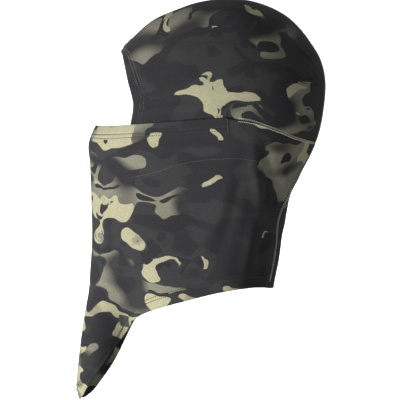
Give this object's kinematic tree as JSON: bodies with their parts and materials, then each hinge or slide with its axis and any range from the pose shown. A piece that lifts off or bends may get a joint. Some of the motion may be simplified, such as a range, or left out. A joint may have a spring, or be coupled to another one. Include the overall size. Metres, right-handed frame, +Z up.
{
  "type": "balaclava",
  "caption": "Stretch-knit camouflage balaclava: two-panel hood with a hemmed face opening, a face mask that pulls down below the chin, and a neck tube ending in a pointed bib.",
  "frame": {"origin": "top of the wearer's head, at the inside of the crown", "axes": "+Z up along the wearer's neck; the wearer faces -X and their left is -Y"},
  "size_m": [0.2532, 0.1638, 0.395],
  "materials": {
    "camouflage_knit": "matte fine knit, printed in charcoal, khaki and olive grey",
    "black_knit": "matte fine knit, unprinted",
    "black_thread": "matte sewing thread",
    "grey_thread": "matte sewing thread",
    "tan_thread": "matte sewing thread",
    "label": "plain woven label"
  },
  "bodies": {
    "hood": {"hood_panel_left": "camouflage_knit", "hood_panel_right": "camouflage_knit", "neck_tube": "camouflage_knit", "face_hem_facing": "black_knit", "bottom_hem_facing": "camouflage_knit", "hem_label": "label", "care_label": "label", "bottom_stitch_lower": "black_thread", "bottom_stitch_upper": "black_thread", "bartack_left": "black_thread", "bartack_right": "black_thread", "face_hem_stitch_outer": "grey_thread", "face_hem_stitch_inner": "grey_thread", "jaw_seam_left": "grey_thread", "jaw_seam_right": "grey_thread", "crown_seam": "grey_thread", "side_seam_upper_left": "tan_thread", "side_seam_upper_right": "tan_thread", "side_seam_lower_left": "tan_thread", "side_seam_lower_right": "tan_thread", "back_seam": "tan_thread"},
    "mask": {"mask_panel": "camouflage_knit", "mask_hem_facing": "camouflage_knit", "mask_stitch_upper": "black_thread", "mask_stitch_lower": "black_thread"}
  },
  "joints": [
    {"name": "mask_drop", "type": "hinge", "parent": "hood", "child": "mask", "pos_m": [0.0128, 0, -0.126], "axis": [0, -1, 0], "range_deg": [0, 38]}
  ]
}
